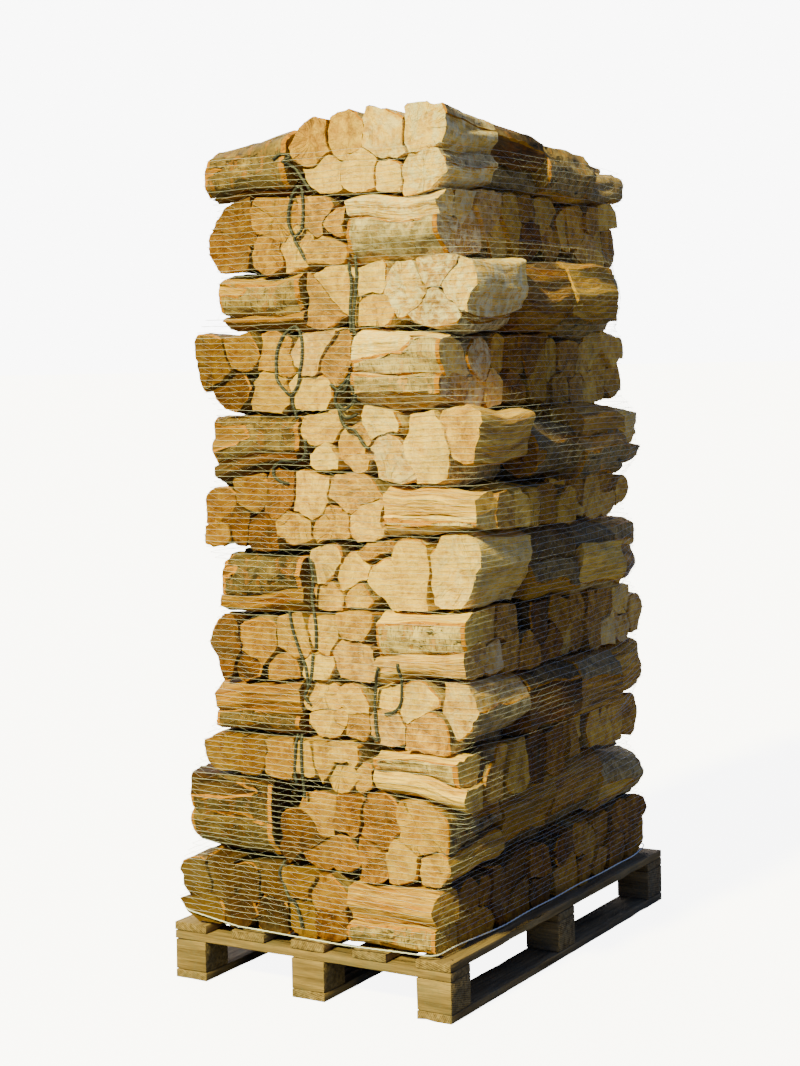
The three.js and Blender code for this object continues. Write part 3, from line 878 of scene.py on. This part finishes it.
def tubes(name, paths, radius, closed, sides, slot, materials, *nodes):
    turns = [2 * math.pi * i / sides for i in range(sides)]
    ring = lineObject(name + "_ring", [[(radius * math.cos(t), radius * math.sin(t), 0) for t in turns]], True)
    holder = lineObject(name + "_path", paths, closed)
    holder.data.bevel_mode = "OBJECT"
    holder.data.bevel_object = ring
    holder.data.use_fill_caps = not closed
    made = bpy.data.meshes.new_from_object(holder.evaluated_get(bpy.context.evaluated_depsgraph_get()))
    bpy.data.objects.remove(holder)
    bpy.data.objects.remove(ring)
    bm = bmesh.new()
    bm.from_mesh(made)
    bpy.data.meshes.remove(made)
    bmesh.ops.remove_doubles(bm, verts=bm.verts[:], dist=1e-6)
    bmesh.ops.recalc_face_normals(bm, faces=bm.faces[:])
    for face in bm.faces:
        face.smooth = True
        face.material_index = 0
    mesh = bpy.data.meshes.new(name)
    bm.to_mesh(mesh)
    bm.free()
    print(name, "faces", len(mesh.polygons))
    return newPiece(name, mesh, slot, materials, *nodes)


# Pallet net

wrap = {
    "spacing": 0.0145,
    "bottom": 0.178,
    "top": 2.015,
    "strand": 0.00038,
    "thread": 0.00013,
    "stand": 0.0055,
    "reach": 0.045,        # how far above and below the logs hold a strand out
    "taper": 0.80,
    "columns": 110,
    "stretch": 0.04,
    "waver": 0.0018,
    "ropeHeight": 0.156,
    "ropeTwist": 0.060,
    "ropeStrand": 0.0009,
    "ropeOut": 0.0010,
    "ropeStep": 0.008,
}


def outlineAt(points, height):
    # the taut outline of the load round one height, counter-clockwise
    near = []
    for p in points:
        off = abs(p.z - height)
        if off < wrap["reach"]:
            flat = Vector((p.x, p.y))
            near.append(flat * (1 + (wrap["stand"] - wrap["taper"] * off) / flat.length))
    hull = [near[i] for i in geometry.convex_hull_2d(near)]
    return hull


def densify(loop, step):
    made = []
    for here, after in zip(loop, loop[1:] + loop[:1]):
        count = max(1, math.ceil((after - here).length / step))
        made += [here.lerp(after, i / count) for i in range(count)]
    return made


def castOut(loop, turn):
    # where a ray from the middle leaves a convex loop
    way = Vector((math.cos(turn), math.sin(turn)))
    best = 9.0
    for here, after in zip(loop, loop[1:] + loop[:1]):
        side = after - here
        normal = Vector((side.y, -side.x))
        if normal.dot(way) > 1e-9:
            best = min(best, normal.dot(here) / normal.dot(way))
    return way * best


def makeNet(points, materials):
    count = round((wrap["top"] - wrap["bottom"]) / wrap["spacing"])
    bins = {}
    for p in points:
        bins.setdefault(int(p.z / wrap["reach"]), []).append(p)
    loops, heights = [], []
    for k in range(count + 1):
        height = wrap["bottom"] + k * wrap["spacing"]
        at = int(height / wrap["reach"])
        loops.append(outlineAt(sum((bins.get(j, []) for j in (at - 1, at, at + 1)), []), height))
        heights.append(height)

    def lifted(flat, k):
        here = Vector((flat.x, flat.y, heights[k]))
        here.z += wrap["waver"] * noise.noise(Vector((flat.x * 9, flat.y * 9, k * 0.31))) * 2
        here.z += 0.0008 * noise.noise(Vector((flat.x * 40, flat.y * 40, k * 7.7)))
        return here

    strands = [[lifted(p, k) for p in densify(loop, wrap["stretch"])] for k, loop in enumerate(loops)]
    tubes("pallet_net_strands", strands, wrap["strand"], True, 3, "net", materials, "net_wrap")
    columns = wrap["columns"]
    rays = [[castOut(loop, 2 * math.pi * i / columns) for i in range(columns)] for loop in loops]
    threads = []
    for k in range(count):
        threads.append([lifted(rays[k + i % 2][i], k + i % 2) for i in range(columns)])
    tubes("pallet_net_threads", threads, wrap["thread"], True, 3, "net", materials, "net_wrap")
    return loops


def makeRope(loop, materials):
    # the net's lower edge, twisted into a rope that lies on the deck round the foot of the load
    loop = densify(loop, wrap["ropeStep"])
    count = len(loop)
    smooth = [sum((loop[(i + j) % count] for j in range(-4, 5)), Vector((0, 0))) / 9 for i in range(count)]
    turns = round(count * wrap["ropeStep"] / wrap["ropeTwist"])
    strands = []
    for j in range(3):
        path = []
        for i, here in enumerate(smooth):
            out = (smooth[(i + 1) % count] - smooth[i - 1]).normalized()
            out = Vector((out.y, -out.x))
            turn = 2 * math.pi * (turns * i / count + j / 3)
            rise = wrap["ropeHeight"] + 0.006 * noise.noise(Vector((here.x * 5, here.y * 5, 3)))
            rise += max(0, -here.x - 0.2) * 0.12 if here.y < -0.4 else 0
            at = here + out * (0.004 + wrap["ropeOut"] * math.cos(turn))
            path.append(Vector((at.x, at.y, rise + wrap["ropeOut"] * math.sin(turn))))
        strands.append(path)
    tubes("pallet_net_hem", strands, wrap["ropeStrand"], True, 5, "net", materials, "net_wrap")


# Drawstrings of the bags, as they lie under the pallet net: x and z on the front face, millimetres

cords = {
    "radius": 0.0038,
    "lift": 0.0035,
    "front": -0.603,
    "deepest": 0.026,
    "step": 0.008,
    "routes": {
        "layer_12_knot": [(-34, 2010), (-14, 2022), (5, 2015), (-9, 2004), (15, 1987), (37, 1958), (55, 1934)],
        "layer_11_loop": [
            (4, 1831), (-9, 1864), (-5, 1903), (11, 1937), (30, 1942), (35, 1901), (30, 1848), (7, 1826),
            (20, 1802), (36, 1774),
        ],
        "layer_10_long": [(174, 1779), (179, 1734), (171, 1677), (165, 1631), (169, 1597)],
        "layer_10_short": [(158, 1764), (162, 1711), (157, 1654), (158, 1602)],
        "layer_09_loop": [
            (-8, 1454), (-44, 1496), (-48, 1555), (-26, 1602), (3, 1620), (22, 1593), (23, 1542), (7, 1484),
            (-11, 1454), (1, 1402),
        ],
        "layer_08_tangle": [
            (97, 1483), (132, 1466), (152, 1494), (171, 1459), (137, 1425), (118, 1436), (130, 1390), (163, 1374),
            (184, 1344), (202, 1332),
        ],
        "layer_08_tail": [(153, 1503), (124, 1476), (109, 1443), (136, 1406), (169, 1413)],
        "layer_07_curl": [
            (22, 1355), (21, 1319), (-2, 1303), (-36, 1305), (-66, 1293), (-72, 1271), (-52, 1255), (-24, 1250),
        ],
        "layer_06_cord": [(27, 1071), (34, 1024), (30, 976), (40, 917), (40, 857)],
        "layer_05_cord": [(-34, 944), (-27, 902), (-11, 854), (7, 807), (12, 760)],
        "layer_05_knot": [(29, 845), (25, 808), (18, 774), (2, 742), (13, 724)],
        "layer_04_loop": [(224, 826), (206, 785), (199, 737), (200, 678), (205, 650), (186, 658)],
        "layer_04_tail": [(276, 838), (274, 777), (270, 742), (253, 722), (226, 713)],
        "layer_03_long": [(-21, 648), (-28, 599), (-33, 550), (-28, 526)],
        "layer_03_short": [(-9, 649), (-11, 596), (-10, 540), (-6, 492)],
        "layer_01_cord": [(-69, 333), (-79, 300), (-66, 264), (-43, 230), (-30, 195), (-25, 171)],
    },
}


def curveThrough(points, step):
    # a smooth line through the points, at even steps
    made = []
    ends = [points[0] * 2 - points[1]] + points + [points[-1] * 2 - points[-2]]
    for before, here, after, later in zip(ends, ends[1:], ends[2:], ends[3:]):
        count = max(2, math.ceil((after - here).length / step))
        for i in range(count):
            t = i / count
            made.append(0.5 * (
                2 * here + (after - before) * t + (2 * before - 5 * here + 4 * after - later) * t * t
                + (3 * here - before - 3 * after + later) * t ** 3
            ))
    made.append(points[-1])
    return made


def layCord(surface, points, way):
    # drops a line onto the logs from outside, then evens it out
    depth = []
    for point in points:
        hit = surface.ray_cast(point - way * 0.1, way, 0.1 + cords["deepest"])[0]
        reach = (hit - point).dot(way) if hit else cords["deepest"]
        depth.append(reach - cords["lift"])
    for _ in range(3):
        ends = [depth[0]] + depth + [depth[-1]]
        depth = [min((a + b + c) / 3, b) for a, b, c in zip(ends, ends[1:], ends[2:])]
    return [point + way * d for point, d in zip(points, depth)]


def makeCords(surface, materials):
    for name, route in cords["routes"].items():
        points = [Vector((x * mm, cords["front"], z * mm)) for x, z in route]
        path = layCord(surface, curveThrough(points, cords["step"]), Vector((0, 1, 0)))
        tubes("drawstring_" + name, [path], cords["radius"], False, 7, "net", materials)


# Pallet

pallet = {
    "boards": ["runner_%d" % i for i in (1, 2, 3)] + ["block_%d" % i for i in range(1, 10)]
    + ["cross_board_%d" % i for i in (1, 2, 3)] + ["deck_board_%d" % i for i in range(1, 6)],
    "bevel": 0.0022,
    "wear": 0.0012,
    "chip": 0.004,
    "cutAlong": 0.050,
    "cutAcross": 0.024,
    "nail": 0.0045,
    "nailRows": (-0.5525, 0.0, 0.5525),
    "nailsAcross": (-0.030, 0.004, 0.032),
}


def makeBoard(node, materials, dice):
    low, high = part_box(node)
    size, middle = high - low, (high + low) / 2
    alongX = size.x > size.y or node.startswith("block")
    bm = bmesh.new()
    bmesh.ops.create_cube(bm, size=1, matrix=Matrix.Translation(middle) @ Matrix.Diagonal((*size, 1)))
    bmesh.ops.bevel(
        bm, geom=bm.edges[:], offset=pallet["bevel"], segments=2, affect="EDGES", profile=0.5, material=-1
    )
    for axis, step in ((0, pallet["cutAlong"] if alongX else pallet["cutAcross"]),
                       (1, pallet["cutAcross"] if alongX else pallet["cutAlong"])):
        normal = Vector((axis == 0, axis == 1, 0))
        count = round(size[axis] / step)
        for i in range(1, count):
            scoreLine(bm, low + normal * (size[axis] * i / count), normal)
    coord = bm.verts.layers.float_vector.new("boardCoord")
    shift = Vector((dice.uniform(0, 9), dice.uniform(0, 90), dice.uniform(0, 9)))
    bm.normal_update()
    for vert in bm.verts:
        at = vert.co - middle
        vert[coord] = (Vector((at.y, at.x, at.z)) if alongX else at) + shift
        away = [size[i] / 2 - abs(at[i]) for i in range(3)]
        edge = sorted(away)[1] < pallet["bevel"] * 1.5
        dent = max(0, noise.noise(vert.co * 23 + shift)) ** 2 * pallet["chip"] * 2 if edge else 0
        worn = pallet["wear"] * (0.5 + 0.5 * noise.noise(vert.co * 14 + shift))
        vert.co = vert.co - vert.normal * (worn + dent)
    for face in bm.faces:
        face.smooth = True
        face.material_index = 1 if abs(face.normal[0 if alongX else 1]) > 0.8 else 0
    for edge in bm.edges:
        edge.smooth = edge.calc_face_angle(0) < math.radians(50)
    if node.startswith("deck"):
        for y in pallet["nailRows"]:
            for x in pallet["nailsAcross"]:
                place = Vector((middle.x + x + dice.uniform(-0.004, 0.004), y + dice.uniform(-0.02, 0.02), high.z))
                bmesh.ops.create_cone(
                    bm, cap_ends=True, segments=8, radius1=pallet["nail"], radius2=pallet["nail"] * 0.8,
                    depth=0.0016, matrix=Matrix.Translation(place - Vector((0, 0, 0.0004))),
                )
        for face in bm.faces:
            if len(face.verts) == 8 or face.calc_area() < 6e-6:
                face.material_index = 2
    mesh = bpy.data.meshes.new(node + "_wood")
    bmesh.ops.recalc_face_normals(bm, faces=bm.faces[:])
    bm.to_mesh(mesh)
    bm.free()
    newPiece(node + "_wood", mesh, "pallet_wood", materials, node)


# Floor, light and world

studio = {
    "floor": (0.88, 0.88, 0.87),
    "floorShade": (0.09, 0.10, 0.13),   # what the floor throws back at the load
    "sun": 12.0,
    "sunColour": (1.0, 0.86, 0.21),
    "sunFrom": (-0.05, -1.0, 0.78),
    "sunWidth": 5,
    "backSun": 2.2,
    "backColour": (1.0, 0.95, 0.86),
    "backFrom": (-1.0, 0.9, 0.7),
    "backWidth": 40,
    "sky": (0.48, 0.70, 1.20),
    "skyPower": 0.34,
    "backdropPower": 9.0,
    "floorGlow": 7.0,
}


def makeStage():
    bpy.ops.mesh.primitive_plane_add(size=400)
    floor = bpy.context.object
    floor.name = "floor"
    material, tree, shader = newMaterial("floor")
    seen = addNode(tree, "ShaderNodeLightPath").outputs["Is Camera Ray"]
    tree.links.new(mixed(tree, seen, studio["floorShade"], studio["floor"]), shader.inputs["Base Color"])
    shader.inputs["Roughness"].default_value = 0.9
    shader.inputs["Emission Color"].default_value = (1, 1, 1, 1)
    tree.links.new(calc(tree, "MULTIPLY", seen, studio["floorGlow"]), shader.inputs["Emission Strength"])
    floor.data.materials.append(material)
    for name, power, colour, way, width in (
        ("key", studio["sun"], studio["sunColour"], studio["sunFrom"], studio["sunWidth"]),
        ("back", studio["backSun"], studio["backColour"], studio["backFrom"], studio["backWidth"]),
    ):
        data = bpy.data.lights.new(name, "SUN")
        data.energy = power
        data.angle = math.radians(width)
        data.color = colour
        lamp = bpy.data.objects.new(name, data)
        bpy.context.scene.collection.objects.link(lamp)
        lamp.rotation_euler = (-Vector(way)).to_track_quat("-Z", "Y").to_euler()
    world = bpy.data.worlds.new("studio")
    world.use_nodes = True
    bpy.context.scene.world = world
    tree = world.node_tree
    sky = tree.nodes["Background"]
    sky.inputs["Color"].default_value = (*studio["sky"], 1)
    sky.inputs["Strength"].default_value = studio["skyPower"]
    backdrop = addNode(tree, "ShaderNodeBackground", {
        "Color": (1, 1, 1, 1), "Strength": studio["backdropPower"],
    })
    seen = addNode(tree, "ShaderNodeLightPath").outputs["Is Camera Ray"]
    both = addNode(tree, "ShaderNodeMixShader", {0: seen, 1: sky.outputs[0], 2: backdrop.outputs[0]})
    tree.links.new(both.outputs[0], tree.nodes["World Output"].inputs["Surface"])


makeCamera()
makeStage()
fibres, grime, paintedLightAndBleach = fibreGroup(), grimeGroup(), lightAndBleachNodes()
logFinishes = [
    barkFinish(grime, paintedLightAndBleach), splitFinish(fibres, grime, paintedLightAndBleach), sawnFinish(grime, paintedLightAndBleach), rimFinish(),
]
netFinish = plasticFinish("netPlastic", (0.60, 0.66, 0.94), (0.78, 0.84, 1.0), 0.4, 0.6, 30)
cordFinish = plasticFinish("cordPlastic", (0.008, 0.011, 0.015), (0.038, 0.046, 0.060), 0.5, 0.7, 420)
boardFinishes = [boardFinish(fibres, grime, False), boardFinish(fibres, grime, True), steelFinish()]
print("materials made")

bags = planBags()
logPieces = makeLogs(bags, logFinishes)
corners = [v.co.copy() for obj in logPieces for v in obj.data.vertices]
netLoops = makeNet(corners, [netFinish])
makeRope(netLoops[0], [netFinish])
shell = bmesh.new()
for obj in logPieces:
    shell.from_mesh(obj.data)
surface = BVHTree.FromBMesh(shell)
shell.free()
makeCords(surface, [cordFinish])
dice = random.Random(7)
for node in pallet["boards"]:
    makeBoard(node, boardFinishes, dice)
print("pallet made")
